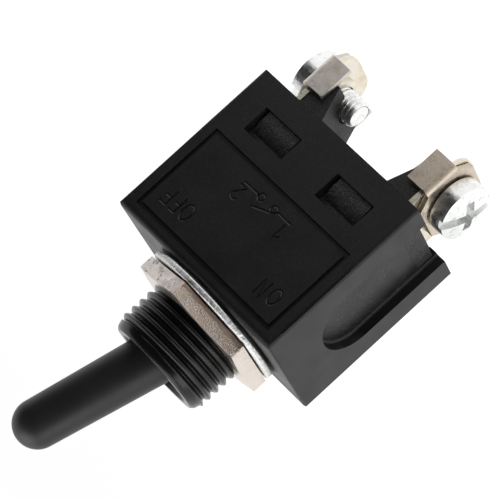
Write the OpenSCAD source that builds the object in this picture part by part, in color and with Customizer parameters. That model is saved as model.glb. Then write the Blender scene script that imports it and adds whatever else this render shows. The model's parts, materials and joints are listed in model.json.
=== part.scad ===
// Panel toggle switch, single pole, on-off, with a threaded bushing and two screw terminals.
// Millimetres. The origin is on the bushing's axis, in the plane of the panel seat.
// +Z points out of the panel along the lever, the marked front faces -Y, "off" is at +X.
// The lever is drawn in its off position, and the contacts are open.

/* [Body] */
// Width of the moulded body, along X
body_w = 30; // [29:0.2:36]
// Depth of the moulded body, from the marked front to the back
body_d = 18.6; // [17.8:0.2:24]
// Height of the moulded body, from the panel seat to the terminal end
body_h = 25.2; // [24.6:0.2:32]
// Sideways offset from the bushing's axis to the middle of the body
body_shift = 1.1; // [0.6:0.1:1.4]
// Radius of the panel seat's front and back edges
edge_r = 1; // [0.4:0.1:1.4]
// Radius of the panel seat's two side edges
side_edge_r = 0.4; // [0.3:0.1:0.9]
// Radius of the body's upright edges
corner_r = 0.6; // [0.3:0.1:1.2]
// Thickness of the wall under the bushing
top_wall = 2.2; // [1.8:0.1:2.8]
// Thickness of the walls at the body's two sides
side_wall = 2.8; // [2.6:0.1:3]
// Thickness of the front and back walls round the terminal base
front_wall = 1.6; // [1.3:0.1:2]
// Width of the ledge that the terminal base is pushed up against
ledge_w = 1.1; // [0.8:0.1:1.5]
// Distance from the body's terminal end up to that ledge
ledge_up = 7.9; // [7.7:0.1:8.4]

/* [Marking frame] */
// Distance from the body's sides to the moulded frame line round the markings
frame_side = 1.8; // [1.5:0.1:4]
// Distance from the panel seat to the frame line
frame_top = 1.6; // [1.4:0.1:2.4]
// Distance from the frame line down to the snap windows
frame_gap = 2.3; // [1.4:0.1:4]
// Width of the groove that forms the frame line
frame_line = 0.6; // [0.3:0.1:1]
// Depth of that groove
frame_cut = 0.3; // [0.15:0.05:0.4]

/* [Snap windows] */
// Width of each snap window
window_w = 7; // [5:0.1:8]
// Height of each snap window
window_h = 4; // [3.6:0.1:4.4]
// Distance from the body's sides to the windows
window_side = 4.5; // [4:0.1:5.4]
// Distance from the body's terminal end up to the middle of the windows
window_up = 5.5; // [4.8:0.1:5.6]
// Height that a snap lug stands out of the terminal base
lug_proud = 1.1; // [0.8:0.1:1.2]
// Height of the flat face over a snap lug's catch
lug_face = 1.2; // [0.6:0.1:1.4]
// Radius of the round back that leads a snap lug in
lug_r = 2.4; // [1.8:0.1:2.6]

/* [Side channels] */
// Width of the finger channel in each side of the body
channel_w = 10.6; // [8:0.2:12]
// Depth of the finger channel
channel_depth = 1.5; // [1.2:0.1:1.9]
// Distance from the panel seat to the channel's round nose
channel_top = 6.3; // [4:0.1:9]
// Radius between the channel's floor and its wall
channel_foot_r = 0.4; // [0.3:0.1:0.9]
// Length of the notch in the channel's floor, from the body's terminal end
notch_len = 3.2; // [2.6:0.1:4]
// Distance from that end to the key of the terminal base that fills the notch
key_back = 0.6; // [0.3:0.1:1]
// Depth of the key's face under the channel's floor
key_under = 0.1; // [0.05:0.05:0.3]

/* [Bushing] */
// Outer diameter of the bushing's thread
thread_d = 15.2; // [14.8:0.1:16]
// Height of the bushing above the panel seat
bushing_h = 10.8; // [10.6:0.1:13]
// Height of the smooth band past the end of the thread
band_h = 1.3; // [1:0.1:1.8]
// Radial step from the thread's crest down to the smooth band
band_step = 0.3; // [0.2:0.1:0.6]
// Radial taper of the smooth band
band_taper = 0.25; // [0.15:0.05:0.4]
// Bevel between the smooth band and the bushing's end face
end_bevel = 0.35; // [0.2:0.05:0.5]
// Depth of the thread, from its crest to its root
thread_depth = 0.7; // [0.5:0.05:0.9]
// Thickness of the bushing's wall under the thread's crest
bushing_wall = 2.3; // [2:0.1:2.4]
// Radial step from the bore out to its mouth
mouth_step = 0.4; // [0.2:0.1:0.6]
// Height of the cone from the bore out to its mouth
mouth_h = 0.5; // [0.3:0.1:1.5]

/* [Panel hardware] */
// Size of the hexagon nut across its flats
nut_af = 18.4; // [17.6:0.2:20]
// Thickness of the nut
nut_h = 2.2; // [1.6:0.1:3]
// Play between the nut and the washer, as the nut is left loose
nut_play = 0.25; // [0.1:0.05:0.5]
// Distance that the nut's corners stand out past the edge of the washer
corner_past = 0.07; // [0:0.01:0.5]
// Radial play between the washer and the thread's crest
washer_play = 0.15; // [0.05:0.05:0.4]
// Thickness of the washer
washer_t = 0.8; // [0.6:0.1:1.2]
// Outer diameter of the rubber gasket under the washer
gasket_d = 18; // [17:0.1:18.6]
// Thickness of the gasket
gasket_t = 0.4; // [0.3:0.1:0.8]

/* [Lever] */
// Height of the lever's pivot above the panel seat
pivot_z = 5.7; // [5.5:0.1:6]
// Distance from the pivot to the tip of the lever's sleeve
lever_reach = 24.4; // [20:0.1:30]
// Tilt of the lever to each side of the bushing's axis, in degrees
lever_tilt = 15; // [12:0.5:15]
// Diameter of the rubber sleeve where it leaves the bushing
sleeve_d = 7; // [6.6:0.1:7.2]
// Taper of the sleeve's diameter up to the start of its round tip
sleeve_taper = 0.44; // [0.2:0.02:0.8]
// Wall of the sleeve
sleeve_wall = 1.1; // [0.9:0.1:1.1]
// Gap between the sleeve's skirt and the bore
skirt_gap = 0.4; // [0.3:0.05:0.5]
// Height of the sleeve's skirt edge above the pivot
skirt_edge = 1.6; // [1.4:0.1:1.8]
// Gap that the tilted stem keeps to the lower edge of the bore
stem_gap = 0.5; // [0.3:0.05:0.7]
// Diameter of the pivot pin
pin_d = 2; // [1.6:0.1:2.2]
// Depth that each end of the pivot pin is let into the bushing's wall
pin_seat = 0.7; // [0.5:0.05:0.9]

/* [Plunger] */
// Diameter of the plunger and of its round tip
plunger_d = 3; // [2.6:0.1:3.2]
// Length of the plunger that stands out of the stem
plunger_out = 2.7; // [2.3:0.1:3.2]
// Straight length of the plunger above its round tip
plunger_len = 3.6; // [3:0.1:4]
// Length of the spring over the plunger
spring_len = 3.6; // [3:0.1:4]
// Wire diameter of the spring
spring_wire = 0.4; // [0.3:0.05:0.5]
// Number of turns of the spring
spring_turns = 5; // [3:1:6]

/* [Rocker and contacts] */
// Depth of the rocker's pivot below the panel seat
rocker_z = 12; // [11.8:0.1:12.2]
// Tilt of the rocker to each side of level, in degrees
rocker_tilt = 8; // [7:0.5:9]
// Thickness of the rocker's sheet
rocker_t = 1; // [0.8:0.1:1.1]
// Width of the rocker
rocker_w = 7.2; // [6.4:0.2:8]
// Distance from the rocker's pivot to the end of each arm
arm_reach = 8.8; // [8.7:0.1:9]
// Half width of the round trough that the plunger runs in
trough_half = 4.4; // [4:0.1:4.8]
// Radius of the bead that the rocker turns on
bead_r = 0.75; // [0.6:0.05:0.85]
// Thickness of metal left between the trough and the hub
trough_floor = 0.1; // [0.05:0.05:0.3]
// Distance from the contact's edge to the end of its arm
contact_edge = 0.1; // [0.05:0.05:0.4]
// Diameter of the contact rivets' heads
contact_d = 3.4; // [3:0.1:3.4]
// Height of the moving contact's head
contact_h = 1; // [0.8:0.1:1.2]
// Height of the fixed contact's head
fixed_h = 1.1; // [0.8:0.1:1.4]
// Diameter of the rivets' shanks
rivet_d = 1.8; // [1.4:0.1:2]

/* [Terminal base] */
// Thickness of the floor of the terminal base
base_t = 4.9; // [4.4:0.1:5.1]
// Thickness of the base's front and back walls
base_wall = 1.1; // [0.8:0.1:1.2]
// Setback of the posts' front and back faces from the edges of the strips
post_back = 0.2; // [0.1:0.1:1]
// Thickness of a post, along X, where it leaves the base
post_foot = 4.6; // [4:0.1:5]
// Outward slope of a post's inner face over its height
post_slope = 2.1; // [1:0.1:2.4]
// Height of the posts past the axis of the terminal screws
post_over = 0.2; // [0:0.1:1]
// Thickness, along X, of the pegs that stop the rocker in its off position
peg_t = 2; // [1.6:0.1:2.4]

/* [Terminals] */
// Thickness of the terminal strips
strip_t = 0.8; // [0.6:0.1:1]
// Width of a terminal strip outside the body
strip_w = 9.8; // [9:0.2:10.4]
// Width of a terminal's leg inside the body
leg_w = 4; // [3:0.2:4.2]
// Radius of the corners at the end of a strip
strip_corner_r = 3; // [2:0.1:4]
// Distance from the cavity's side wall to the outer face of each strip
strip_inset = 0.75; // [0.6:0.05:0.9]
// Distance from the body's terminal end to the axis of the terminal screws
screw_drop = 5.3; // [5.1:0.1:5.8]
// Outer diameter of the drawn collar that holds the screw's thread
collar_d = 5.8; // [5.2:0.1:6]
// Height of that collar
collar_h = 1.2; // [0.8:0.1:1.3]
// Diameter of the terminal screws' thread
screw_d = 4; // [3.5:0.1:4.2]
// Length of the terminal screws under their heads
screw_len = 6.7; // [6:0.1:6.8]
// Diameter of the terminal screws' heads
head_d = 8; // [7.4:0.1:8.2]
// Height of the terminal screws' heads
head_h = 3; // [2.7:0.1:3.2]
// Radius of the edge of those heads
head_edge_r = 0.8; // [0.5:0.1:1.2]
// Width of the slot in those heads
recess_w = 1.3; // [1:0.1:1.5]
// Thickness of the saddle clamps
clamp_t = 0.8; // [0.6:0.1:1]
// Width of a clamp's folded ears, along Z
ear_w = 5.2; // [4.5:0.1:5.6]
// Length of a clamp's folded ears, along X
ear_len = 3.1; // [2.4:0.1:3.2]
// Width of a clamp's middle at its two narrow ends
middle_w = 6.4; // [5.4:0.1:7.2]
// Outer radius of a clamp's folds
fold_r = 1; // [0.85:0.05:1.3]
// Gap between the middle of a clamp and the body's terminal end
clamp_gap = 0.8; // [0.6:0.05:1]
// Play under the head of a terminal screw, as it is left loose
screw_play = 0.3; // [0.1:0.1:0.6]

/* [Hidden] */
$fn = 64;

// Clearances
fit = 0.05;          // a turning or sliding fit, and a piece pushed into its seat
gap = 0.3;           // between pieces that pass each other without touching
seat_gap = 0.12;     // left between a stop or a contact and what comes to rest on it
eps = 0.01;          // overlap of shapes that are joined

// Housing
cavity_w = body_w - 2*side_wall;
base_cavity_d = body_d - 2*front_wall;
upper_cavity_d = base_cavity_d - 2*ledge_w;
ledge_z = body_h - ledge_up;
window_z = body_h - window_up;
window_x = body_w/2 - window_side - window_w/2;
frame_w = body_w - 2*frame_side;
frame_h = window_z - window_h/2 - frame_gap - frame_top;
channel_r = channel_w/2;
key_w = channel_w - 2*channel_foot_r - 2*fit;

// Bushing
thread_r = thread_d/2;
pitch_r = thread_r - thread_depth/2;
bore_r = thread_r - bushing_wall;
mouth_r = bore_r + mouth_step;
band_r = thread_r - band_step;

// Panel hardware, stacked up from the seat
washer_z = gasket_t;
nut_z = washer_z + washer_t + nut_play;
nut_top = nut_z + nut_h;
nut_corner = nut_af/sqrt(3);
nut_chamfer = 0.2;
bore_chamfer = 0.4;
washer_r = nut_corner - corner_past;
washer_bore = thread_r + washer_play;
crest_z = nut_top + seat_gap;

// Lever: lengths are measured from its pivot, with the lever upright
skirt_r = bore_r - skirt_gap;
ball_r = skirt_r - sleeve_wall;
sleeve_r = sleeve_d/2;
sleeve_tip_r = (sleeve_d - sleeve_taper)/2;
rod_r = sleeve_tip_r - sleeve_wall + 0.2;
rod_reach = lever_reach - 1.4*sleeve_wall;
stem_r = (bore_r - stem_gap)*cos(lever_tilt) - (pivot_z + top_wall)*sin(lever_tilt);
pin_r = pin_d/2;
pin_len = 2*(bore_r + pin_seat);
hub_r = bead_r + 0.85;
plunger_r = plunger_d/2;
plunger_reach = pivot_z + rocker_z - hub_r - trough_floor - gap;
tip_reach = plunger_reach - plunger_r;              // to the middle of the round tip
stem_len = plunger_reach - plunger_out;
plunger_top = tip_reach - plunger_len;
spring_top = plunger_top - spring_len;
spring_r = plunger_r - spring_wire/2 - fit;
spring_pitch = (spring_len - spring_wire)/spring_turns;

// Pin retainer
retainer_t = 1.2;
stem_sweep = (pivot_z + top_wall + retainer_t)*tan(lever_tilt) + stem_r/cos(lever_tilt);
tongue_in = bore_r + fit;
tongue_out = pin_len/2;

// Rocker: its frame has its origin at the rocker's pivot, and is level with the arms
rest_tip = turned([-tip_reach*sin(lever_tilt), pivot_z + rocker_z - tip_reach*cos(lever_tilt)], rocker_tilt);
mid_tip_z = pivot_z + rocker_z - tip_reach;
tip_rise = rest_tip[1] - mid_tip_z;
tip_path_r = (rest_tip[0]*rest_tip[0] + tip_rise*tip_rise)/(2*tip_rise);
trough_r = tip_path_r + plunger_r + gap;
trough_z = mid_tip_z + tip_path_r;
arm_top = trough_z - sqrt(trough_r*trough_r - trough_half*trough_half);
arm_low = arm_top - rocker_t;

// Contacts and stop, at the two ends of the rocker's swing
contact_r = contact_d/2;
contact_x = arm_reach - contact_edge - contact_r;
contact_low = arm_low - contact_h;
dome_r = 5;
closed_dome = turned([contact_x, contact_low + dome_r], rocker_tilt);
closed_x = closed_dome[0];
shelf_top = closed_dome[1] - dome_r - seat_gap - rocker_z - fixed_h;
peg_x = arm_reach - gap;
peg_top = turned([-peg_x, arm_low], -rocker_tilt)[1] - seat_gap - rocker_z;

// Terminal base
base_w = cavity_w - 2*fit;
base_d = base_cavity_d - 2*fit;
base_low = 0.1 - body_h;
base_top = base_low + base_t;
base_wall_top = -ledge_z - fit;
lug_w = window_w - 1;
lug_low = -window_z - window_h/2 + fit;
tab_r = strip_w/2;
post_d = strip_w - 2*post_back;

// Terminals
strip_out = cavity_w/2 - strip_inset;
strip_in = strip_out - strip_t;
post_in = strip_in - post_foot;
screw_z = body_h + screw_drop;
screw_r = screw_d/2;
post_top = -screw_z - post_over;
clamp_reach = screw_drop - clamp_gap;         // from the screw's axis to each end of the middle
clamp_in = strip_out + fit;
clamp_out = clamp_in + clamp_t;
head_low = clamp_out + screw_play;
ear_in = tab_r + 2*fit;
ear_out = ear_in + clamp_t;
fold_y = ear_out - fold_r;
tip_bevel = 0.25;
head_crown = 1.4*head_d;
recess_l = 0.58*head_d;
recess_depth = 1.3;
recess_turn = 26;                            // of the slot away from the switch's axis

// A point of the XZ plane turned about the origin, +X towards -Z for a positive angle
function turned(p, angle) = [
    p[0]*cos(angle) + p[1]*sin(angle),
    p[1]*cos(angle) - p[0]*sin(angle)
];

// Moves children to the middle of the body
module at_body() translate([body_shift, 0, 0]) children();

// Places children at the right side of the body (1) or mirrors them to the left (-1)
module at_side(side) at_body() {
    if (side < 0) mirror([1, 0, 0]) children();
    else children();
}

// Stands children, drawn upright round their pivot, in the lever's off position
module in_lever() translate([0, 0, pivot_z]) rotate([0, lever_tilt, 0]) children();

// Sets children, drawn in the rocker's level frame, in the rocker's off position
module in_rocker() translate([0, 0, -rocker_z]) rotate([0, -rocker_tilt, 0]) children();

// Extrudes a flat shape drawn in X and Z evenly to both sides of the XZ plane
module across(depth) rotate([90, 0, 0]) linear_extrude(depth, center = true) children();

// A cylinder along X, from one X to another
module rod_x(r, from, to) translate([from, 0, 0]) rotate([0, 90, 0]) cylinder(h = to - from, r = r);

// A cylinder along Y, centred
module rod_y(r, length) rotate([90, 0, 0]) cylinder(h = length, r = r, center = true);

// A rectangle hanging down from the X axis, with its two upper corners rounded
module arch(w, h, r) {
    translate([-w/2, -h]) square([w, h - r]);
    translate([r - w/2, -h]) square([w - 2*r, h]);
    for (s = [-1, 1]) translate([s*(w/2 - r), -r]) circle(r);
}

// A centred rectangle with all its corners rounded
module round_rect(w, h, r) {
    square([w, h - 2*r], center = true);
    square([w - 2*r, h], center = true);
    for (sx = [-1, 1], sy = [-1, 1]) translate([sx*(w/2 - r), sy*(h/2 - r)]) circle(r);
}

module body_block() at_body() intersection() {
    across(body_d) arch(body_w, body_h, side_edge_r);
    rotate([90, 0, 90]) linear_extrude(body_w, center = true) arch(body_d, body_h, edge_r);
    translate([0, 0, -body_h]) linear_extrude(body_h) round_rect(body_w, body_d, corner_r);
}

// The bushing's outside: the turns in the nut at their pitch radius, the free turns at
// their crest, and the smooth band past the end of the thread, with its bevels
module bushing_block() rotate_extrude() polygon([
    [0, -edge_r],
    [pitch_r, -edge_r],
    [pitch_r, crest_z],
    [thread_r, crest_z],
    [thread_r, bushing_h - band_h],
    [band_r, bushing_h - band_h + band_step/2],
    [band_r - band_taper, bushing_h - end_bevel],
    [band_r - band_taper - end_bevel, bushing_h],
    [0, bushing_h]
]);

module bushing_bore() {
    translate([0, 0, -top_wall - 1]) cylinder(h = bushing_h + top_wall + 2, r = bore_r);
    translate([0, 0, bushing_h - mouth_h]) cylinder(h = mouth_h + eps, r1 = bore_r, r2 = mouth_r);
    translate([0, 0, pivot_z]) rod_y(pin_r + fit, pin_len + 2*fit);
    translate([-pin_r - fit, -pin_len/2 - fit, -top_wall - 1])
        cube([pin_d + 2*fit, pin_len + 2*fit, pivot_z + top_wall + 1]);
}

// The room for the mechanism, with a ledge above the terminal base
module cavity() at_body() {
    translate([-cavity_w/2, -base_cavity_d/2, -body_h - 1])
        cube([cavity_w, base_cavity_d, body_h + 1 - ledge_z]);
    translate([-cavity_w/2, -upper_cavity_d/2, -ledge_z - 1])
        cube([cavity_w, upper_cavity_d, ledge_z + 1 - top_wall]);
}

module frame_groove() at_body()
    translate([0, frame_cut - body_d/2, -frame_top - frame_h/2])
    rotate([90, 0, 0]) linear_extrude(frame_cut + 1) difference() {
        square([frame_w, frame_h], center = true);
        square([frame_w - 2*frame_line, frame_h - 2*frame_line], center = true);
    }

module snap_windows() at_body() for (side = [-1, 1])
    translate([side*window_x, 0, -window_z])
        cube([window_w, body_d + 2, window_h], center = true);

// Half of the channel's cross-section, from its middle out to one wall
module channel_half() {
    translate([0, -channel_depth]) square([channel_r - channel_foot_r, channel_depth + 1]);
    translate([0, channel_foot_r - channel_depth]) square([channel_r, channel_depth - channel_foot_r + 1]);
    translate([channel_r - channel_foot_r, channel_foot_r - channel_depth]) circle(channel_foot_r);
}

// A straight run of that half section, away from the panel
module channel_run() rotate([90, 0, 90]) linear_extrude(body_h) channel_half();

// A channel that runs out of the terminal end, with a round nose towards the panel and a
// notch through its floor
module side_channel() {
    translate([body_w/2, 0, -channel_top - channel_r]) rotate([0, 90, 0]) {
        rotate_extrude() channel_half();
        channel_run();
        mirror([0, 1, 0]) channel_run();
    }
    translate([cavity_w/2 - eps, -key_w/2 - fit, -body_h - 1])
        cube([side_wall, key_w + 2*fit, notch_len + 1]);
}

module housing() color([0.11, 0.11, 0.12]) difference() {
    union() {
        body_block();
        bushing_block();
    }
    bushing_bore();
    cavity();
    frame_groove();
    snap_windows();
    for (side = [-1, 1]) at_side(side) side_channel();
}

// One post outside the body, with a seat for the terminal's collar and screw
module terminal_post() difference() {
    across(post_d) polygon([
        [post_in, base_low + eps],
        [strip_in - fit, base_low + eps],
        [strip_in - fit, post_top],
        [post_in + post_slope, post_top]
    ]);
    translate([0, 0, -screw_z]) {
        rod_x(screw_r + gap, 0, strip_out);
        rod_x(collar_d/2 + fit, strip_in - collar_h - fit, strip_out);
    }
}

// Section of a snap lug, from inside the wall that carries it out to its face
module lug_section() intersection() {
    translate([-base_wall/2, 0]) square([base_wall/2 + lug_proud, lug_face + lug_r]);
    union() {
        translate([lug_proud - lug_r, 0]) square([lug_r, lug_face]);
        translate([lug_proud - lug_r, lug_face]) circle(lug_r);
    }
}

// The base's front and back walls, each with two lugs that snap into the windows
module snap_walls() for (face = [0, 1]) mirror([0, face, 0]) {
    translate([-base_w/2, base_d/2 - base_wall, base_low])
        cube([base_w, base_wall, base_wall_top - base_low]);
    for (side = [-1, 1]) translate([side*window_x, base_d/2, lug_low])
        rotate([90, 0, 90]) linear_extrude(lug_w, center = true) lug_section();
}

// Slots through the base for the two terminals
module terminal_slots() at_body() for (side = [-1, 1])
    translate([side*(strip_in + strip_t/2), 0, (base_low + base_top)/2])
        cube([strip_t + 2*fit, strip_w + 2*fit, base_t + 2], center = true);

// A key that fills the notch in the floor of the right side channel
module side_key() translate([base_w/2 - eps, -key_w/2, key_back - body_h])
    cube([body_w/2 - channel_depth - key_under - base_w/2 + eps, key_w, notch_len - key_back - fit]);

// Pegs that stop the rocker's left arm, one to each side of the terminal's leg
module stop_pegs() for (face = [-1, 1])
    translate([-peg_x, face > 0 ? leg_w/2 + gap : -rocker_w/2, base_top - eps])
        cube([peg_t, rocker_w/2 - leg_w/2 - gap, peg_top - base_top]);

module terminal_base() color([0.14, 0.14, 0.15]) {
    difference() {
        at_body() union() {
            translate([-base_w/2, -base_d/2, base_low]) cube([base_w, base_d, base_t]);
            snap_walls();
            for (side = [0, 1]) mirror([side, 0, 0]) {
                terminal_post();
                side_key();
            }
        }
        terminal_slots();
    }
    stop_pegs();
}

module hex_nut() color([0.78, 0.75, 0.72]) translate([0, 0, nut_z]) difference() {
    intersection() {
        rotate(30) cylinder(h = nut_h, r = nut_corner, $fn = 6);
        rotate_extrude() polygon([
            [0, 0],
            [nut_corner + eps, 0],
            [nut_corner + eps, nut_h - nut_chamfer],
            [nut_af/2, nut_h],
            [0, nut_h]
        ]);
    }
    translate([0, 0, -1]) cylinder(h = nut_h + 2, r = pitch_r + fit);
    translate([0, 0, nut_h - bore_chamfer])
        cylinder(h = bore_chamfer + eps, r1 = pitch_r + fit, r2 = pitch_r + fit + bore_chamfer);
}

module flat_ring(outer_r, inner_r, t) difference() {
    cylinder(h = t, r = outer_r);
    translate([0, 0, -1]) cylinder(h = t + 2, r = inner_r);
}

module washer() color([0.86, 0.86, 0.84])
    translate([0, 0, washer_z]) flat_ring(washer_r, washer_bore, washer_t);

module gasket() color([0.06, 0.06, 0.06]) flat_ring(gasket_d/2, washer_bore, gasket_t);

// Half profile of the sleeve: skirt over the ball, tapered tube and round tip
module sleeve_profile() difference() {
    union() {
        intersection() {
            circle(skirt_r);
            translate([0, skirt_edge]) square([skirt_r, skirt_r]);
        }
        polygon([
            [0, skirt_edge],
            [sleeve_r, skirt_edge],
            [sleeve_r, skirt_r],
            [sleeve_tip_r, lever_reach - sleeve_tip_r],
            [0, lever_reach - sleeve_tip_r]
        ]);
        intersection() {
            translate([0, lever_reach - sleeve_tip_r]) circle(sleeve_tip_r);
            square([2*sleeve_tip_r, lever_reach]);
        }
    }
    circle(ball_r + fit);
    square([rod_r + fit, rod_reach - rod_r]);
    translate([0, rod_reach - rod_r]) circle(rod_r + fit);
}

module sleeve() color([0.1, 0.1, 0.1]) in_lever() rotate_extrude() intersection() {
    sleeve_profile();
    square([skirt_r, lever_reach]);
}

module lever() color([0.72, 0.72, 0.72]) in_lever() difference() {
    union() {
        sphere(ball_r);
        cylinder(h = rod_reach - rod_r, r = rod_r);
        translate([0, 0, rod_reach - rod_r]) sphere(rod_r);
        translate([0, 0, -stem_len]) cylinder(h = stem_len, r = stem_r);
    }
    rod_y(pin_r + fit, 2*ball_r + 2);
    translate([0, 0, -stem_len - 1]) cylinder(h = stem_len + 1 - spring_top, r = plunger_r + fit);
}

module pivot_pin() color([0.75, 0.75, 0.77]) translate([0, 0, pivot_z]) rod_y(pin_r, pin_len);

// A plate under the bushing, with two tongues that hold the pivot pin up in its slots
module pin_retainer() color([0.88, 0.86, 0.8]) {
    translate([0, 0, -top_wall - retainer_t]) difference() {
        linear_extrude(retainer_t) square([2*stem_sweep + 5, upper_cavity_d - 2*fit], center = true);
        translate([0, 0, -1]) linear_extrude(retainer_t + 2)
            square([2*stem_sweep + 2*gap, 2*stem_r + 2*gap], center = true);
    }
    for (face = [-1, 1]) translate([-pin_r, face > 0 ? tongue_in : -tongue_out, -top_wall - eps])
        cube([pin_d, tongue_out - tongue_in, pivot_z - pin_r + top_wall]);
}

module plunger() color([0.8, 0.66, 0.4]) in_lever() {
    translate([0, 0, -tip_reach]) cylinder(h = plunger_len, r = plunger_r);
    translate([0, 0, -tip_reach]) sphere(plunger_r);
}

// Points of one section of the spring's wire
function wire_ring(turn, sides) = [
    for (k = [0:sides - 1])
        let (a = 360*turn, b = 360*k/sides, r = spring_r + spring_wire/2*cos(b))
        [r*cos(a), r*sin(a), spring_pitch*turn + spring_wire/2*sin(b)]
];

// A helix of wire with flat ends, as one closed surface
module spring_coil(steps = 14, sides = 8) {
    rings = spring_turns*steps;
    points = [for (i = [0:rings]) each wire_ring(i/steps, sides)];
    walls = [
        for (i = [0:rings - 1], k = [0:sides - 1])
            let (n = (k + 1) % sides)
            [i*sides + k, (i + 1)*sides + k, (i + 1)*sides + n, i*sides + n]
    ];
    first_end = [for (k = [0:sides - 1]) k];
    last_end = [for (k = [sides - 1:-1:0]) rings*sides + k];
    polyhedron(points, concat(walls, [first_end, last_end]), convexity = 10);
}

module plunger_spring() color([0.7, 0.7, 0.72]) in_lever()
    translate([0, 0, spring_wire/2 - plunger_top]) spring_coil();

// Section of the rocker: a round trough, two arms, and a hub that grips the bead
module rocker_section() difference() {
    union() {
        intersection() {
            translate([0, trough_z]) circle(trough_r + rocker_t);
            translate([-trough_half, -hub_r]) square([2*trough_half, arm_top + hub_r]);
        }
        for (s = [-1, 1]) translate([s*(arm_reach + trough_half - rocker_t)/2, arm_top - rocker_t/2])
            square([arm_reach - trough_half + rocker_t, rocker_t], center = true);
        circle(hub_r);
    }
    translate([0, trough_z]) circle(trough_r);
    circle(bead_r + fit);
    polygon([[-bead_r*0.8, 0], [bead_r*0.8, 0], [bead_r + 0.7, -2*hub_r], [-bead_r - 0.7, -2*hub_r]]);
}

module rocker() color([0.8, 0.6, 0.32]) in_rocker() difference() {
    across(rocker_w) rocker_section();
    translate([contact_x, 0, arm_low - 1]) cylinder(h = rocker_t + 2, r = rivet_d/2);
}

// A rivet with a domed head that faces down, its shank through the arm
module moving_contact() color([0.85, 0.85, 0.83]) in_rocker() translate([contact_x, 0, 0]) {
    intersection() {
        translate([0, 0, contact_low]) cylinder(h = contact_h, r = contact_r);
        translate([0, 0, contact_low + dome_r]) sphere(dome_r);
    }
    translate([0, 0, arm_low - eps]) cylinder(h = rocker_t + eps, r = rivet_d/2);
}

module fixed_contact() color([0.85, 0.85, 0.83]) translate([closed_x, 0, 0]) {
    translate([0, 0, shelf_top]) cylinder(h = fixed_h, r = contact_r);
    translate([0, 0, shelf_top - strip_t]) cylinder(h = strip_t + eps, r = rivet_d/2);
}

// The part of a terminal that comes out of the body, with its drawn collar
module terminal_tab() difference() {
    union() {
        translate([strip_in, 0, -screw_z - tab_r]) rotate([90, 0, 90]) linear_extrude(strip_t)
            mirror([0, 1]) arch(strip_w, screw_z + tab_r + base_top + strip_t, strip_corner_r);
        translate([0, 0, -screw_z]) rod_x(collar_d/2, strip_in - collar_h, strip_out);
    }
    translate([0, 0, -screw_z]) rod_x(screw_r + fit, strip_in - collar_h - 1, strip_out + 1);
}

// Left terminal: its leg runs along the base and stands up to carry the rocker
module terminal_1() color([0.8, 0.72, 0.55]) {
    at_side(-1) terminal_tab();
    across(leg_w) {
        translate([body_shift - strip_out, base_top]) square([strip_out - body_shift + strip_t/2, strip_t]);
        translate([-strip_t/2, base_top]) square([strip_t, -rocker_z - base_top]);
        translate([0, -rocker_z]) circle(bead_r);
    }
}

// Right terminal: its leg stands up and folds in to a shelf under the fixed contact
module terminal_2() color([0.8, 0.72, 0.55]) {
    at_side(1) terminal_tab();
    difference() {
        across(leg_w) {
            translate([body_shift + strip_in, base_top]) square([strip_t, shelf_top - base_top]);
            translate([closed_x - contact_r - 0.4, shelf_top - strip_t])
                square([body_shift + strip_out - closed_x + contact_r + 0.4, strip_t]);
        }
        translate([closed_x, 0, shelf_top - strip_t - 1]) cylinder(h = strip_t + 2, r = rivet_d/2);
    }
}

// The flat middle of a clamp, from fold to fold, narrower towards both ends
module clamp_middle() translate([clamp_in, 0, 0]) rotate([90, 0, 90]) linear_extrude(clamp_t)
    for (s = [-1, 1]) polygon([
        [-fold_y, -s*eps],
        [fold_y, -s*eps],
        [fold_y, s*ear_w/2],
        [middle_w/2, s*clamp_reach],
        [-middle_w/2, s*clamp_reach],
        [-fold_y, s*ear_w/2]
    ]);

// A saddle clamp: a flat middle, and two ears folded round the strip
module saddle_clamp() translate([0, 0, -screw_z]) difference() {
    union() {
        clamp_middle();
        translate([clamp_out, 0, 0]) linear_extrude(ear_w, center = true) rotate(-90) difference() {
            arch(2*ear_out, clamp_t + ear_len, fold_r);
            translate([-ear_in, -clamp_t - ear_len - 1]) square([2*ear_in, ear_len + 1]);
        }
    }
    rod_x(screw_r + 0.2, clamp_in - 1, clamp_out + 1);
}

// Half profile of a screw, with the underside of its head on the X axis
module screw_profile() {
    polygon([
        [0, -screw_len],
        [screw_r - tip_bevel, -screw_len],
        [screw_r, tip_bevel - screw_len],
        [screw_r, eps],
        [0, eps]
    ]);
    intersection() {
        square([head_d/2, head_h]);
        translate([0, head_h]) arch(head_d, head_h, head_edge_r);
        translate([0, head_h - head_crown]) circle(head_crown);
    }
}

// A pan head screw with a slot and a shorter cross slot
module pan_screw() translate([head_low, 0, -screw_z]) difference() {
    rotate([0, 90, 0]) rotate_extrude() screw_profile();
    translate([head_h, 0, 0]) rotate([recess_turn, 0, 0]) {
        cube([2*recess_depth, recess_w, head_d + 1], center = true);
        cube([2.4*recess_depth, recess_l, recess_w], center = true);
    }
}

module clamp_1() color([0.78, 0.7, 0.58]) at_side(-1) saddle_clamp();
module clamp_2() color([0.78, 0.7, 0.58]) at_side(1) saddle_clamp();
module screw_1() color([0.82, 0.82, 0.82]) at_side(-1) pan_screw();
module screw_2() color([0.82, 0.82, 0.82]) at_side(1) pan_screw();

housing();
terminal_base();
hex_nut();
washer();
gasket();
sleeve();
lever();
pivot_pin();
pin_retainer();
plunger();
plunger_spring();
rocker();
moving_contact();
fixed_contact();
terminal_1();
terminal_2();
clamp_1();
clamp_2();
screw_1();
screw_2();
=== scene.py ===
# Looks for the panel toggle switch: camera, light, materials and fine detail over the CAD frame.
import json
import math

import bmesh
import bpy
from mathutils import Matrix, Vector, noise


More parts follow.
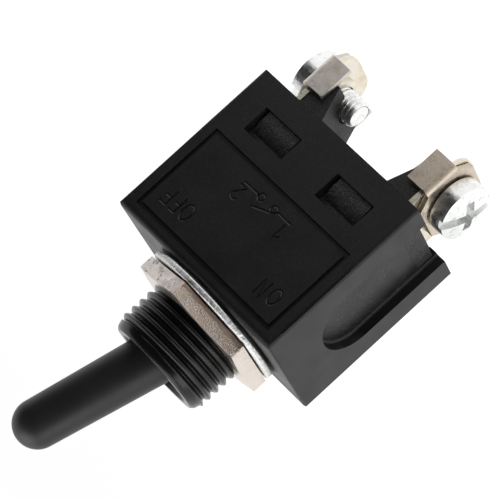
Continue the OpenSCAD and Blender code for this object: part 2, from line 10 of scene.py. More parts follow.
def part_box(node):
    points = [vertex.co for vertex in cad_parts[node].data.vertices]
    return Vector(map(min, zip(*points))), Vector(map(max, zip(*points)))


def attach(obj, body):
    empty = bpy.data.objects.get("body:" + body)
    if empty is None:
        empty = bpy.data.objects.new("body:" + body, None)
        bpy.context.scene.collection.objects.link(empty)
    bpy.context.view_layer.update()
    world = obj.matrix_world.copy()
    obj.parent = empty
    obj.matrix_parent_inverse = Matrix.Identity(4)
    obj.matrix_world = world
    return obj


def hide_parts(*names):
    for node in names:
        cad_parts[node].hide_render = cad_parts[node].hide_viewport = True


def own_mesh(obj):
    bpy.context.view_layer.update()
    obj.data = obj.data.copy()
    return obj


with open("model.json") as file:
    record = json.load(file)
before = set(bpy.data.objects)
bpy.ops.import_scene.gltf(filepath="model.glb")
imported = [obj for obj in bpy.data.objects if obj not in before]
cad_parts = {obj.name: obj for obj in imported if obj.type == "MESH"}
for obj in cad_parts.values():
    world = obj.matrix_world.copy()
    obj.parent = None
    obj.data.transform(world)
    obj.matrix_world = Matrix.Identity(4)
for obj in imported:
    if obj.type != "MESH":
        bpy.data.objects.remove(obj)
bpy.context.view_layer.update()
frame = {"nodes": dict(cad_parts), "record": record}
nodes = frame["nodes"]
bpy.context.scene.view_settings.view_transform = "Standard"

MM = 0.001
BODY = "body"
LEVER = "lever_arm"
WHITE = (1.0, 1.0, 1.0)

# places that the CAD model gives
BODY_LOW, BODY_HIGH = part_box("housing")
FRONT = BODY_LOW.y
HALF_DEPTH = abs(FRONT)
TERMINAL_END = BODY_LOW.z
MIDDLE = (BODY_LOW.x + BODY_HIGH.x) / 2
HALF_WIDTH = BODY_HIGH.x - MIDDLE
NUT_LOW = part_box("hex_nut")[0].z

# in millimetres: the frame groove's outer edges on the front, and the band that holds the markings
FRAME_X = (-12.1, 14.3)
FRAME_Z = (-17.0, -1.6)
MARKED_Z = (-13.9, -2.6)

# the threaded bushing: its thread, the step down to the plain band, and the core inside the thread
CREST, DEPTH, PITCH = 7.6 * MM, 0.7 * MM, 1.32 * MM
THREAD_END, BAND_START, BAND_RADIUS = 9.5 * MM, 9.65 * MM, 7.3 * MM
PHASE = 1.72 * MM
CORE = 6.7 * MM

# the terminal screws
SCREW_CREST, SCREW_CORE = 2.0 * MM, 1.5 * MM
SCREW_DEPTH, SCREW_PITCH = 0.42 * MM, 0.7 * MM
HEAD_HEIGHT = 3.0 * MM

# threads start a little above the face they stand on
THREAD_START = 0.02 * MM


# ---------- camera, floor and light ----------

def add_camera():
    """A close view of the front and the on side, rolled so that the lever points down to the left."""
    place = Vector((-0.22111, -0.38934, 0.04082))
    forward = Vector((0.49643, 0.86123, -0.10884)).normalized()
    up = Vector((0.60352, -0.43253, -0.66984))
    right = forward.cross(up).normalized()
    up = right.cross(forward)
    data = bpy.data.cameras.new("camera")
    data.sensor_width = 36
    data.lens = 257.65
    data.clip_start = 0.05
    camera = bpy.data.objects.new("camera", data)
    bpy.context.scene.collection.objects.link(camera)
    turn = Matrix((right, up, -forward)).transposed().to_4x4()
    camera.matrix_world = Matrix.Translation(place) @ turn
    bpy.context.scene.camera = camera


def background_rays(tree):
    """1 for rays that see the background: camera, glossy and transmission rays."""
    path = tree.nodes.new("ShaderNodeLightPath")
    first = tree.nodes.new("ShaderNodeMath")
    first.operation = "MAXIMUM"
    second = tree.nodes.new("ShaderNodeMath")
    second.operation = "MAXIMUM"
    tree.links.new(path.outputs["Is Camera Ray"], first.inputs[0])
    tree.links.new(path.outputs["Is Glossy Ray"], first.inputs[1])
    tree.links.new(first.outputs[0], second.inputs[0])
    tree.links.new(path.outputs["Is Transmission Ray"], second.inputs[1])
    return second.outputs[0]


def scaled(tree, value, low, high):
    """low where value is 0, and high where it is 1."""
    node = tree.nodes.new("ShaderNodeMapRange")
    node.inputs["To Min"].default_value = low
    node.inputs["To Max"].default_value = high
    tree.links.new(value, node.inputs["Value"])
    return node.outputs[0]


def add_world():
    """A white surround: full strength as a background, and softer as a light."""
    world = bpy.data.worlds.new("world")
    world.use_nodes = True
    bpy.context.scene.world = world
    tree = world.node_tree
    background = tree.nodes["Background"]
    background.inputs["Color"].default_value = (*WHITE, 1)
    strength = scaled(tree, background_rays(tree), 0.55, 1.0)
    tree.links.new(strength, background.inputs["Strength"])


def add_panel(name, corners, color):
    """A flat matt panel of the studio, which isn't part of the switch."""
    mesh = bpy.data.meshes.new(name)
    mesh.from_pydata(corners, [], [(0, 1, 2, 3)])
    panel = bpy.data.objects.new(name, mesh)
    bpy.context.scene.collection.objects.link(panel)
    material = bpy.data.materials.new(name)
    material.use_nodes = True
    shader = material.node_tree.nodes["Principled BSDF"]
    shader.inputs["Base Color"].default_value = (color, color, color, 1)
    shader.inputs["Roughness"].default_value = 0.9
    shader.inputs["Specular IOR Level"].default_value = 0.0
    mesh.materials.append(material)
    return panel


def add_floor():
    """A pale floor below the terminals, white as a background, that keeps the switch's shadow."""
    size, height, paleness, glow = 6.0, -0.060, 0.6, 0.66
    corners = [(-size, -size, height), (size, -size, height), (size, size, height), (-size, size, height)]
    floor = add_panel("floor", corners, paleness)
    tree = floor.data.materials[0].node_tree
    shader = tree.nodes["Principled BSDF"]
    shader.inputs["Emission Color"].default_value = (*WHITE, 1)
    strength = scaled(tree, background_rays(tree), 0.0, glow)
    tree.links.new(strength, shader.inputs["Emission Strength"])


def add_screen():
    """A dark screen before the front, which only reflections see, as behind a studio camera."""
    depth, left, right, low, high = -0.14, -0.45, 0.70, -0.06, 0.45
    corners = [(left, depth, low), (right, depth, low), (right, depth, high), (left, depth, high)]
    screen = add_panel("screen", corners, 0.03)
    screen.visible_camera = False
    screen.visible_diffuse = False
    screen.visible_transmission = False
    screen.visible_shadow = False


def add_light(name, place, size, power):
    """A soft square light at place, in metres, aimed at the switch."""
    data = bpy.data.lights.new(name, "AREA")
    data.size = size
    data.energy = power
    light = bpy.data.objects.new(name, data)
    bpy.context.scene.collection.objects.link(light)
    light.location = place
    light.rotation_mode = "QUATERNION"
    light.rotation_quaternion = (-Vector(place)).to_track_quat("-Z", "Y")


# ---------- materials ----------

class Look:
    """A Principled material with helpers for procedural detail."""

    def __init__(self, name, color, roughness, metallic=0.0, specular=0.5):
        self.material = bpy.data.materials.new(name)
        self.material.use_nodes = True
        self.tree = self.material.node_tree
        self.shader = self.tree.nodes["Principled BSDF"]
        self.shader.inputs["Base Color"].default_value = (*color, 1)
        self.shader.inputs["Roughness"].default_value = roughness
        self.shader.inputs["Metallic"].default_value = metallic
        self.shader.inputs["Specular IOR Level"].default_value = specular
        self.coords = self.tree.nodes.new("ShaderNodeTexCoord").outputs["Object"]
        self.normal = None
        self.used = {}

    def noise(self, grain, detail=3.0, stretch=(1, 1, 1)):
        """Noise with a grain of that many millimetres."""
        mapping = self.tree.nodes.new("ShaderNodeMapping")
        mapping.inputs["Scale"].default_value = stretch
        node = self.tree.nodes.new("ShaderNodeTexNoise")
        node.inputs["Scale"].default_value = 1 / (grain * MM)
        node.inputs["Detail"].default_value = detail
        self.tree.links.new(self.coords, mapping.inputs["Vector"])
        self.tree.links.new(mapping.outputs[0], node.inputs["Vector"])
        return node.outputs["Fac"]

    def math(self, operation, a, b=0.0):
        """A Math node's result for two sockets or numbers."""
        node = self.tree.nodes.new("ShaderNodeMath")
        node.operation = operation
        for socket, value in zip(node.inputs, (a, b)):
            if isinstance(value, (int, float)):
                socket.default_value = value
            else:
                self.tree.links.new(value, socket)
        return node.outputs[0]

    def all_of(self, *masks):
        """The product of several masks."""
        product = masks[0]
        for mask in masks[1:]:
            product = self.math("MULTIPLY", product, mask)
        return product

    def outside(self, mask):
        """1 where the mask is 0, and 0 where it is 1."""
        return self.math("SUBTRACT", 1.0, mask)

    def between(self, value, low, high, edge=0.1):
        """1 from low to high, with a soft edge outside each."""
        above = self.step(value, low - edge, low)
        return self.all_of(above, self.outside(self.step(value, high, high + edge)))

    def along(self, direction):
        """Distance along a direction, in millimetres."""
        node = self.tree.nodes.new("ShaderNodeVectorMath")
        node.operation = "DOT_PRODUCT"
        node.inputs[1].default_value = Vector(direction).normalized() / MM
        self.tree.links.new(self.coords, node.inputs[0])
        return node.outputs["Value"]

    def facing(self, direction):
        """1 where a face looks along the direction, 0 where it is square to it, in part axes."""
        geometry = self.tree.nodes.new("ShaderNodeNewGeometry")
        turn = self.tree.nodes.new("ShaderNodeVectorTransform")
        turn.vector_type = "NORMAL"
        turn.convert_from, turn.convert_to = "WORLD", "OBJECT"
        node = self.tree.nodes.new("ShaderNodeVectorMath")
        node.operation = "DOT_PRODUCT"
        node.inputs[1].default_value = Vector(direction).normalized()
        self.tree.links.new(geometry.outputs["True Normal"], turn.inputs[0])
        self.tree.links.new(turn.outputs[0], node.inputs[0])
        return node.outputs["Value"]

    def step(self, value, low, high):
        """0 below low, 1 above high, with a smooth rise between them."""
        node = self.tree.nodes.new("ShaderNodeMapRange")
        node.interpolation_type = "SMOOTHSTEP"
        node.inputs["From Min"].default_value = low
        node.inputs["From Max"].default_value = high
        self.tree.links.new(value, node.inputs["Value"])
        return node.outputs[0]

    def ramp(self, value, *stops):
        """Maps value through (position, grey level) stops."""
        node = self.tree.nodes.new("ShaderNodeValToRGB")
        elements = node.color_ramp.elements
        while len(elements) < len(stops):
            elements.new(1.0)
        for element, (position, level) in zip(elements, stops):
            element.position = position
            element.color = (level, level, level, 1)
        self.tree.links.new(value, node.inputs[0])
        return node.outputs["Color"]

    def mix(self, factor, a, b):
        """Colour or grey level a where factor is 0, and b where it is 1."""
        node = self.tree.nodes.new("ShaderNodeMix")
        node.data_type = "RGBA"
        for socket, value in ((node.inputs[6], a), (node.inputs[7], b)):
            if isinstance(value, float):
                socket.default_value = (value, value, value, 1)
            elif isinstance(value, tuple):
                socket.default_value = (*value, 1)
            else:
                self.tree.links.new(value, socket)
        self.tree.links.new(factor, node.inputs[0])
        return node.outputs[2]

    def use(self, socket, value):
        """Lets value drive one of the shader's sockets, and remembers it in used."""
        self.used[socket] = value
        self.tree.links.new(value, self.shader.inputs[socket])

    def bump(self, height, strength, distance):
        """Adds relief of a depth in millimetres."""
        node = self.tree.nodes.new("ShaderNodeBump")
        node.inputs["Strength"].default_value = strength
        node.inputs["Distance"].default_value = distance * MM
        self.tree.links.new(height, node.inputs["Height"])
        if self.normal is not None:
            self.tree.links.new(self.normal, node.inputs["Normal"])
        self.normal = node.outputs[0]
        self.tree.links.new(self.normal, self.shader.inputs["Normal"])


def moulded_plastic(name, color, roughness, dust, specks=0.66):
    """Moulding with a fine matt grain, faint flow patches and pale dust specks."""
    look = Look(name, color, roughness, specular=0.36)
    look.use("Roughness", look.ramp(look.noise(4.5, 4), (0.3, roughness - 0.05), (0.7, roughness + 0.07)))
    pale = tuple(c + dust for c in color)
    look.use("Base Color", look.mix(look.step(look.noise(0.13, 2), specks, specks + 0.12), color, pale))
    look.bump(look.noise(0.28, 3), 0.22, 0.03)
    return look


def channel_dust(look, x):
    """Specks in loose patches on the floors of the two side channels."""
    off_middle = look.math("ABSOLUTE", look.math("SUBTRACT", x, MIDDLE / MM))
    depth = look.math("SUBTRACT", HALF_WIDTH / MM, off_middle)
    sideways = look.math("ABSOLUTE", look.facing((1, 0, 0)))
    floor = look.all_of(look.step(depth, 0.5, 1.2), look.step(sideways, 0.8, 0.95))
    specks = look.step(look.noise(0.22, 4), 0.52, 0.68)
    patches = look.step(look.noise(3.5, 2), 0.35, 0.6)
    return look.all_of(floor, look.all_of(specks, patches))


def housing_finish(name):
    """The body's moulding: a groove whose floor is darkened with painted shade and has a smoother finish,
    dusty channels, a polished bushing and shiny markings.
    """
    # the first colour here is painted shade for the groove floor, and the first roughness is the groove's
    # smoother finish
    painted_groove_shade, polished, dust = 0.006, 0.004, (0.060, 0.054, 0.048)
    groove_rough, polished_rough, marking_rough = 0.36, 0.25, 0.2
    look = moulded_plastic(name, (0.0074, 0.0074, 0.0078), 0.42, 0.008, 0.50)
    x, y, z = (look.along(axis) for axis in ((1, 0, 0), (0, -1, 0), (0, 0, 1)))

    front = HALF_DEPTH / MM
    at_front = look.step(y, front - 0.5, front - 0.45)
    below_face = look.outside(look.step(y, front - 0.22, front - 0.14))
    groove = look.all_of(at_front, below_face, look.between(x, *FRAME_X), look.between(z, *FRAME_Z))
    sloped = look.outside(look.step(look.facing((0, -1, 0)), 0.9, 0.97))
    markings = look.all_of(at_front, look.between(z, *MARKED_Z), sloped)
    bushing = look.step(z, 0.3, 0.5)

    # painted shade: the groove floor's colour is darkened to stand in for the shade inside the groove
    color = look.mix(groove, look.used["Base Color"], painted_groove_shade)
    color = look.mix(channel_dust(look, x), color, dust)
    rough = look.mix(groove, look.used["Roughness"], groove_rough)
    rough = look.mix(bushing, rough, polished_rough)
    look.use("Base Color", look.mix(bushing, color, polished))
    look.use("Roughness", look.mix(markings, rough, marking_rough))
    return look.material


def rubber(name, color):
    """Smooth black rubber with a faint bloom."""
    look = Look(name, color, 0.46, specular=0.42)
    look.use("Roughness", look.ramp(look.noise(3.3, 4), (0.3, 0.42), (0.7, 0.52)))
    look.bump(look.noise(0.2, 2), 0.12, 0.02)
    return look.material


def plated(name, color, tint):
    """Plated metal with soft stains and a fine grain."""
    look = Look(name, color, 0.3, metallic=1.0)
    stain = look.ramp(look.noise(3.8, 5), (0.4, 0.0), (0.75, 1.0))
    look.use("Base Color", look.mix(stain, color, tint))
    look.use("Roughness", look.ramp(look.noise(1.1, 4), (0.3, 0.22), (0.7, 0.44)))
    look.bump(look.noise(0.38, 4), 0.3, 0.05)
    look.bump(look.noise(1.4, 2), 0.3, 0.1)
    return look.material


def nut_finish(name):
    """Nickel-plated steel: smooth cream flats, and one grainy flat with a smooth brown strip. The grainy
    middle flat's darker colour is painted shade, and the off flat's pinker tone is painted to suit how
    that flat is lit.
    """
    cream, pink = (0.74, 0.67, 0.605), (0.64, 0.58, 0.55)
    # dark is a painted shade colour for the middle flat
    dark, brown = (0.60, 0.50, 0.425), (0.78, 0.60, 0.48)
    flat_low, flat_high = 8.9, 9.1
    strip_height, strip_wander = 0.95, 0.9
    look = Look(name, cream, 0.3, metallic=1.0)
    middle_flat = look.step(look.along((-0.5, -0.866, 0)), flat_low, flat_high)
    off_flat = look.step(look.along((0.5, -0.866, 0)), flat_low, flat_high)
    wander = look.math("MULTIPLY", look.noise(1.0, 3), strip_wander)
    height = look.math("ADD", look.along((0, 0, 1)), wander)
    top = NUT_LOW / MM + strip_height
    strip = look.all_of(look.outside(look.step(height, top, top + 0.1)), middle_flat)
    grainy = look.math("SUBTRACT", middle_flat, strip)
    # painted light: the middle flat is darkened as painted shade, and the off flat gets a pinker tone, to
    # suit how each flat is lit
    color = look.mix(middle_flat, look.mix(off_flat, cream, pink), dark)
    patches = look.math("MULTIPLY", look.step(look.noise(2.2, 4), 0.52, 0.62), 0.45)
    look.use("Base Color", look.mix(strip, look.mix(patches, color, pink), brown))
    rough = look.ramp(look.noise(1.1, 4), (0.3, 0.24), (0.7, 0.42))
    look.use("Roughness", look.mix(middle_flat, rough, 0.40))
    look.bump(look.noise(1.6, 2), 0.25, 0.1)
    scars = look.math("MULTIPLY", look.all_of(off_flat, look.step(look.noise(1.8, 3), 0.5, 0.6)), 0.6)
    scarred = look.math("ADD", grainy, scars)
    look.bump(look.math("MULTIPLY", look.noise(0.17, 2), scarred), 1.0, 0.2)
    look.bump(look.noise(0.35, 3, (1, 1, 4)), 0.25, 0.05)
    return look.material


def washer_finish(name):
    """Bright zinc: a torn, rough punched rim."""
    bright, grey = (0.84, 0.84, 0.83), (0.70, 0.70, 0.69)
    look = Look(name, bright, 0.3, metallic=1.0)
    look.use("Base Color", look.mix(look.step(look.noise(0.5, 5), 0.45, 0.7), bright, grey))
    look.use("Roughness", look.ramp(look.noise(0.6, 4), (0.3, 0.40), (0.7, 0.62)))
    look.bump(look.noise(0.3, 4, (1, 1, 0.4)), 0.9, 0.16)
    return look.material


def clamp_finish(name):
    """Dull nickel with a warm cast, darker on the on side, and drawn along the fold."""
    warm, light, stain = (0.60, 0.52, 0.43), (0.64, 0.59, 0.55), (0.44, 0.36, 0.27)
    look = Look(name, warm, 0.32, metallic=1.0)
    off_side = look.step(look.along((1, 0, 0)), -4, 4)
    color = look.mix(off_side, warm, light)
    patches = look.math("MULTIPLY", look.step(look.noise(2.0, 4), 0.5, 0.68), 0.7)
    look.use("Base Color", look.mix(patches, color, stain))
    look.use("Roughness", look.ramp(look.noise(0.9, 4, (1, 1, 3)), (0.3, 0.26), (0.7, 0.46)))
    look.bump(look.noise(0.3, 4, (1, 1, 5)), 0.4, 0.05)
    look.bump(look.noise(1.4, 2), 0.3, 0.1)
    return look.material


def strip_finish(name):
    """Nickel-plated brass, cream and smooth."""
    cream, gold = (0.76, 0.71, 0.62), (0.66, 0.57, 0.43)
    look = Look(name, cream, 0.3, metallic=1.0)
    look.use("Base Color", look.mix(look.step(look.noise(2.4, 4), 0.45, 0.7), cream, gold))
    look.use("Roughness", look.ramp(look.noise(0.9, 4), (0.3, 0.24), (0.7, 0.42)))
    look.bump(look.noise(0.8, 3), 0.2, 0.06)
    return look.material


def screw_finish(name):
    """Bright zinc, dented all over by tumbling."""
    bright, grey = (0.86, 0.87, 0.86), (0.62, 0.63, 0.61)
    look = Look(name, bright, 0.2, metallic=1.0)
    look.use("Base Color", look.mix(look.step(look.noise(0.7, 5), 0.5, 0.72), bright, grey))
    look.use("Roughness", look.ramp(look.noise(0.8, 4), (0.3, 0.24), (0.7, 0.42)))
    look.bump(look.noise(0.42, 3), 0.4, 0.06)
    look.bump(look.noise(1.8, 2), 0.5, 0.14)
    return look.material


MATERIALS = {
    "housing_plastic": housing_finish("housing_plastic"),
    "base_plastic": moulded_plastic("base_plastic", (0.012, 0.012, 0.012), 0.52, 0.05, 0.5).material,
    "nut_steel": nut_finish("nut_steel"),
    "washer_steel": washer_finish("washer_steel"),
    "black_rubber": rubber("black_rubber", (0.01, 0.01, 0.01)),
    "sleeve_rubber": rubber("sleeve_rubber", (0.012, 0.012, 0.0125)),
    "inner_steel": plated("inner_steel", (0.55, 0.55, 0.56), (0.4, 0.4, 0.4)),
    "nylon": moulded_plastic("nylon", (0.60, 0.56, 0.48), 0.5, 0.02).material,
    "inner_brass": plated("inner_brass", (0.70, 0.50, 0.24), (0.5, 0.34, 0.16)),
    "contact_silver": plated("contact_silver", (0.78, 0.78, 0.76), (0.5, 0.5, 0.5)),
    "terminal_brass": strip_finish("terminal_brass"),
    "clamp_steel": clamp_finish("clamp_steel"),
    "screw_steel": screw_finish("screw_steel"),
}
SLOT_OF = {s["node"]: s["material_slot"] for s in frame["record"]["subparts"]}


# ---------- mesh helpers ----------

def add_piece(name, mesh, slot, body, *replaced):
    """Links a mesh as a piece that rides on a body, and stands for the nodes it replaces."""
    piece = bpy.data.objects.new(name, mesh)
    bpy.context.scene.collection.objects.link(piece)
    mesh.materials.clear()
    mesh.materials.append(MATERIALS[slot])
    even = piece.modifiers.new("even_shading", "WEIGHTED_NORMAL")
    even.keep_sharp = True
    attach(piece, body)
    if replaced:
        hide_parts(*replaced)
    return piece


def node_bmesh(node):
    """A CAD node's mesh, welded, with its flat faces joined."""
    bm = bmesh.new()
    bm.from_mesh(nodes[node].data)
    bmesh.ops.remove_doubles(bm, verts=bm.verts, dist=1e-7)
    bmesh.ops.dissolve_limit(bm, angle_limit=math.radians(0.4), verts=bm.verts, edges=bm.edges)
    return bm


def finish_mesh(bm, name, smooth_angle=35):
    """A mesh from bm, smooth but for edges sharper than the angle."""
    limit = math.radians(smooth_angle)
    for face in bm.faces:
        face.smooth = True
    for edge in bm.edges:
        edge.smooth = len(edge.link_faces) == 2 and edge.calc_face_angle(0.0) < limit
    mesh = bpy.data.meshes.new(name)
    bm.to_mesh(mesh)
    bm.free()
    if "custom_normal" in mesh.attributes:
        mesh.attributes.remove(mesh.attributes["custom_normal"])
    return mesh


def sharp_edges(bm, angle):
    """Edges that turn by more than the angle."""
    limit = math.radians(angle)
    return [e for e in bm.edges if len(e.link_faces) == 2 and e.calc_face_angle(0.0) > limit]


def bevel(bm, edges, width, segments):
    """Rounds edges."""
    bmesh.ops.bevel(bm, geom=edges, offset=width, offset_type="OFFSET", segments=segments,
                    profile=0.5, affect="EDGES", clamp_overlap=True)


def add_thread(bm, crest, depth, pitch, low, high, phase, limit, steps, rows_per_turn):
    """Adds a threaded sleeve about Z: a grid over angle and height. limit(z) caps its radius."""
    rows = max(2, round((high - low) / pitch * rows_per_turn))
    grid = []
    for row in range(rows + 1):
        z = low + (high - low) * row / rows
        ring = []
        for step in range(steps):
            turn = step / steps
            along = ((z - phase) / pitch - turn) % 1.0
            height = 1.0 - abs(2.0 * along - 1.0) ** 1.5
            radius = min(crest - depth + depth * height, limit(z))
            angle = 2 * math.pi * turn
            ring.append(bm.verts.new((radius * math.cos(angle), radius * math.sin(angle), z)))
        grid.append(ring)
    for a, b in zip(grid, grid[1:]):
        for step in range(steps):
            after = (step + 1) % steps
            bm.faces.new((a[step], a[after], b[after], b[step]))
    return [v for ring in grid for v in ring]


# ---------- markings ----------

def arc(x, z, rx, rz, start=0, end=360, points=24):
    """Points on an ellipse, clockwise from the top, in degrees."""
    turns = [math.radians(start + (end - start) * k / points) for k in range(points + 1)]
    return [(x + rx * math.sin(t), z + rz * math.cos(t)) for t in turns]


def marking_strokes():
    """The letters, the numbers and the switch symbol as lists of X and Z, in millimetres."""
    # ON and OFF
    yield arc(-9.28, -5.1, 0.68, 1.15)
    yield [(-7.7, -6.2), (-7.7, -3.6), (-6.67, -6.2), (-6.67, -3.6)]
    yield arc(8.04, -5.06, 0.7, 1.2)
    for left, width in ((9.42, 1.03), (11.12, 1.15)):
        yield [(left, -6.25), (left, -3.86), (left + width, -3.86)]
        yield [(left, -5.05), (left + width * 0.93, -5.05)]
    # 1 and 2, over their terminals
    yield [(-3.5, -10.92), (-2.75, -10.35), (-2.75, -12.5)]
    hook = arc(5.3, -10.8, 0.52, 0.52, -80, 110, 10)
    yield [(4.75, -10.8), *hook, (5.2, -11.8), (4.7, -12.42), (5.93, -12.42)]
    # the symbol: two lines, two poles and the open blade
    yield [(-3.39, -12.94), (-0.72, -12.94)]
    yield arc(-0.14, -12.92, 0.5, 0.5)
    yield arc(2.44, -12.93, 0.5, 0.5)
    yield [(3.0, -12.94), (5.78, -12.94)]
    yield [(-0.6, -12.5), (2.62, -11.25)]


def engraving_tool():
    """Round bars along the strokes, a little in front of the face, that cut 0.12 mm deep."""
    radius, stand_off = 0.22 * MM, 0.10 * MM
    curve = bpy.data.curves.new("engraving", "CURVE")
    curve.dimensions = "3D"
    curve.bevel_depth = radius
    curve.bevel_resolution = 2
    curve.use_fill_caps = True
    for points in marking_strokes():
        spline = curve.splines.new("POLY")
        spline.points.add(len(points) - 1)
        for point, (x, z) in zip(spline.points, points):
            point.co = (x * MM, FRONT - stand_off, z * MM, 1)
    strokes = bpy.data.objects.new("strokes", curve)
    bpy.context.scene.collection.objects.link(strokes)
    mesh = bpy.data.meshes.new_from_object(strokes.evaluated_get(bpy.context.evaluated_depsgraph_get()))
    bpy.data.objects.remove(strokes)
    tool = bpy.data.objects.new("engraving", mesh)
    bpy.context.scene.collection.objects.link(tool)
    return tool


def engrave(bm):
    """Cuts the markings into the front of a mesh."""
    blank = bpy.data.objects.new("blank", bpy.data.meshes.new("blank"))
    bpy.context.scene.collection.objects.link(blank)
    bm.to_mesh(blank.data)
    tool = engraving_tool()
    cut = blank.modifiers.new("cut", "BOOLEAN")
    cut.object = tool
    cut.operation = "DIFFERENCE"
    cut.solver = "EXACT"
    cut.use_self = True
    result = bpy.data.meshes.new_from_object(blank.evaluated_get(bpy.context.evaluated_depsgraph_get()))
    bm.clear()
    bm.from_mesh(result)
    bpy.data.objects.remove(blank)
    bpy.data.objects.remove(tool)
    bpy.data.meshes.remove(result)


# ---------- housing with its thread ----------

def bushing_limit(z):
    """The bushing's outer radius over its length: the thread's crest, then the step down to the band."""
    if z < THREAD_END:
        return CREST
    share = (z - THREAD_END) / (BAND_START - THREAD_END)
    return CREST + (BAND_RADIUS - CREST) * share


def shrink_bushing(bm):
    """Draws the bushing's plain outer wall in, out of the thread's way.

    The ledge over the nut is left without width, and comes out as a doubled sheet across the bore.
    """
    wall_inside, wall_outside = 7.12 * MM, 7.7 * MM
    wall_low, wall_high = -0.01 * MM, 9.6 * MM
    for v in bm.verts:
        radius = math.hypot(v.co.x, v.co.y)
        if wall_inside < radius < wall_outside and wall_low < v.co.z < wall_high:
            v.co.x *= CORE / radius
            v.co.y *= CORE / radius


def middle(edge):
    """An edge's midpoint."""
    return (edge.verts[0].co + edge.verts[1].co) / 2


def round_corners(bm):
    """Rounds the corners of the snap windows and of the frame groove, seen from the front."""
    reach, window_top = 2 * MM, -14 * MM
    shortest_window, longest_groove = 1 * MM, 0.5 * MM
    corners = []
    for e in sharp_edges(bm, 40):
        length_y = abs(e.verts[0].co.y - e.verts[1].co.y)
        near_face = abs(abs(middle(e).y) - HALF_DEPTH) < reach
        if near_face and length_y > 0.99 * e.calc_length():
            window = middle(e).z < window_top and length_y > shortest_window
            if window or length_y < longest_groove:
                corners.append(e)
    bevel(bm, corners, 0.3 * MM, 4)


def soften_rims(bm):
    """Takes the sharpness off the edges on the faces, the sides and the terminal end."""
    groove_reach, margin = 0.32 * MM, 0.05 * MM
    rims = []
    for e in sharp_edges(bm, 40):
        place = middle(e)
        on_face = abs(abs(place.y) - HALF_DEPTH) < groove_reach
        on_side = abs(place.x - MIDDLE) > HALF_WIDTH - margin
        on_end = place.z < TERMINAL_END + margin
        if on_face or on_side or on_end:
            rims.append(e)
    bevel(bm, rims, 0.07 * MM, 2)


def add_housing():
    """The housing with its thread, its markings and softer edges."""
    bm = node_bmesh("housing")
    shrink_bushing(bm)
    round_corners(bm)
    soften_rims(bm)
    engrave(bm)
    add_thread(bm, CREST, DEPTH, PITCH, THREAD_START, BAND_START, PHASE, bushing_limit, 160, 16)
    mesh = finish_mesh(bm, "threaded_housing")
    add_piece("threaded_housing", mesh, "housing_plastic", BODY, "housing")


# ---------- terminal screws ----------

def screw_bmesh(side):
    """A terminal screw with its thread; side is -1 for the on side and 1 for the off side."""
    node = "screw_1" if side < 0 else "screw_2"
    bm = node_bmesh(node)
    low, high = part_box(node)
    axis_z = (low.z + high.z) / 2
    head_low = low.x + HEAD_HEIGHT if side < 0 else high.x - HEAD_HEIGHT
    tip = high.x if side < 0 else low.x
    shank = abs(tip - head_low)
    shank_inside, shank_outside = 1.4 * MM, 2.1 * MM
    tip_radius, tip_slope = 1.58 * MM, 1.2
    for v in bm.verts:
        radius = math.hypot(v.co.y, v.co.z - axis_z)
        if shank_inside < radius < shank_outside and (head_low - v.co.x) * side > THREAD_START:
            v.co.y *= SCREW_CORE / radius
            v.co.z = axis_z + (v.co.z - axis_z) * SCREW_CORE / radius
    bevel(bm, sharp_edges(bm, 40), 0.1 * MM, 3)

    def limit(z):
        """The thread's radius, which tapers at the tip."""
        return min(SCREW_CREST, tip_radius + (shank - z) * tip_slope)

    made = add_thread(bm, SCREW_CREST, SCREW_DEPTH, SCREW_PITCH, THREAD_START, shank, 0.0, limit, 64, 12)
    turn = Matrix.Rotation(math.radians(90 if side < 0 else -90), 4, "Y")
    place = Matrix.Translation(Vector((head_low, 0, axis_z))) @ turn
    for v in made:
        v.co = place @ v.co
    return bm


def add_screws():
    """Both terminal screws."""
    for number, side in ((1, -1), (2, 1)):
        name = f"terminal_screw_{number}"
        mesh = finish_mesh(screw_bmesh(side), name)
        add_piece(name, mesh, "screw_steel", BODY, f"screw_{number}")


# ---------- washer with a torn rim ----------

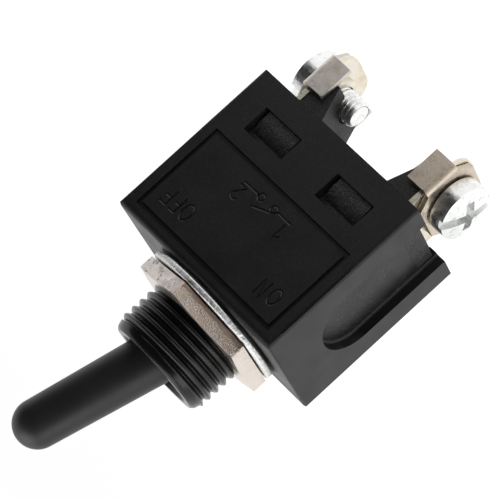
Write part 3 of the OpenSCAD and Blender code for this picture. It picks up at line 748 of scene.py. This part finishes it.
def add_washer():
    """A punched washer: its rim is torn and burred, and its edges are bevelled."""
    low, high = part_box("washer")
    outer = (high.x - low.x) / 2
    inner = 7.75 * MM
    steps, coarse_wear, fine_wear = 360, 0.06 * MM, 0.05 * MM
    tears_around, tears_up = 30, 1.5
    profile = [(inner, low.z), (outer - 0.10 * MM, low.z), (outer - 0.02 * MM, low.z + 0.10 * MM)]
    profile += [(outer, low.z + share * (high.z - low.z)) for share in (0.25, 0.4, 0.55, 0.7)]
    profile += [(outer - 0.05 * MM, high.z - 0.10 * MM), (outer - 0.16 * MM, high.z), (inner, high.z)]
    bm = bmesh.new()
    rings = []
    for step in range(steps):
        angle = 2 * math.pi * step / steps
        ring = []
        for radius, z in profile:
            if radius > inner:
                spot = Vector((math.cos(angle) * tears_around, math.sin(angle) * tears_around,
                               z / MM * tears_up))
                radius -= coarse_wear * abs(noise.noise(spot)) + fine_wear * abs(noise.noise(spot * 2.7))
            ring.append(bm.verts.new((radius * math.cos(angle), radius * math.sin(angle), z)))
        rings.append(ring)
    for a, b in zip(rings, rings[1:] + rings[:1]):
        for k in range(len(profile)):
            after = (k + 1) % len(profile)
            bm.faces.new((a[k], b[k], b[after], a[after]))
    add_piece("torn_washer", finish_mesh(bm, "torn_washer", 50), "washer_steel", BODY, "washer")


# ---------- pieces that only get softer edges ----------

def add_softened(node, width):
    """A copy of a node whose sharp edges are rounded."""
    bm = node_bmesh(node)
    bevel(bm, sharp_edges(bm, 30), width, 2)
    mesh = finish_mesh(bm, "soft_" + node)
    add_piece("soft_" + node, mesh, SLOT_OF[node], BODY, node)


# ---------- plunger spring ----------

def add_spring():
    """The coil spring in the lever's stem, riding on the lever with a mesh of its own."""
    bm = node_bmesh("plunger_spring")
    mesh = finish_mesh(bm, "coil_spring")
    piece = add_piece("coil_spring", mesh, SLOT_OF["plunger_spring"], LEVER, "plunger_spring")
    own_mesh(piece)


# ---------- build ----------

add_camera()
add_world()
add_floor()
add_screen()
add_light("top_light", (-0.15, 0.10, 0.75), 0.7, 2.6)
add_light("left_light", (-0.80, -0.05, 0.20), 0.6, 1.8)

for name, node in nodes.items():
    node.data.materials.clear()
    node.data.materials.append(MATERIALS[SLOT_OF[name]])

add_housing()
add_screws()
add_washer()
for softened, width in (("hex_nut", 0.1), ("terminal_1", 0.08), ("terminal_2", 0.08),
                        ("clamp_1", 0.14), ("clamp_2", 0.14)):
    add_softened(softened, width * MM)
add_spring()
